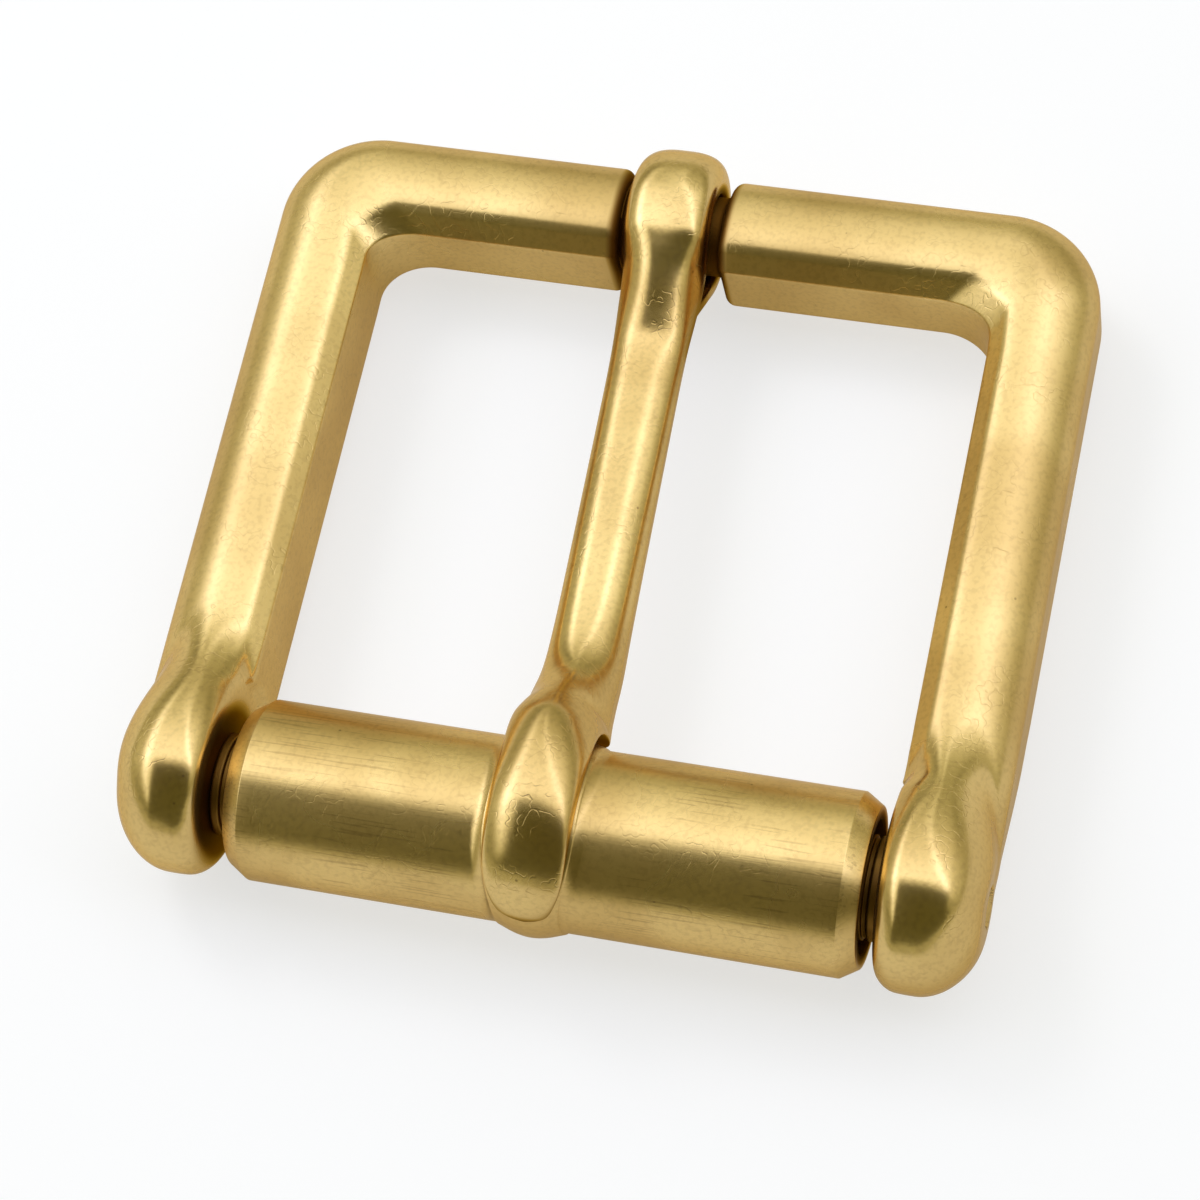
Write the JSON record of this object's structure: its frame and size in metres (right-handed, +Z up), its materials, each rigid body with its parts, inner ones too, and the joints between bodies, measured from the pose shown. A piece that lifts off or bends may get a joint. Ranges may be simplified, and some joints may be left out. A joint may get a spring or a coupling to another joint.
{
  "type": "roller buckle",
  "caption": "Cast brass belt buckle with a free-turning roller on a pin between two round lugs, and a swinging tongue whose domed tip lies over the roller.",
  "frame": {"origin": "middle of the buckle on the surface it lies on", "axes": "+X along the crossbar and the roller, +Y from the roller to the crossbar, +Z up, out of the side that shows when worn"},
  "size_m": [0.0526, 0.052, 0.0141],
  "materials": {
    "frame_brass": "satin polished cast brass",
    "pin_brass": "turned brass",
    "roller_brass": "turned brass, brushed lengthwise",
    "tongue_brass": "polished cast brass"
  },
  "bodies": {
    "frame": {"frame": "frame_brass", "roller_pin": "pin_brass"},
    "tongue": {"tongue": "tongue_brass"},
    "roller": {"roller": "roller_brass"}
  },
  "joints": [
    {"name": "tongue_swing", "type": "hinge", "parent": "frame", "child": "tongue", "pos_m": [-0.001, 0.02104, 0.00493], "axis": [-1, 0, 0], "range_deg": [0, 170]},
    {"name": "roller_spin", "type": "hinge", "parent": "frame", "child": "roller", "pos_m": [0, -0.01997, 0.006], "axis": [1, 0, 0], "continuous": true}
  ]
}
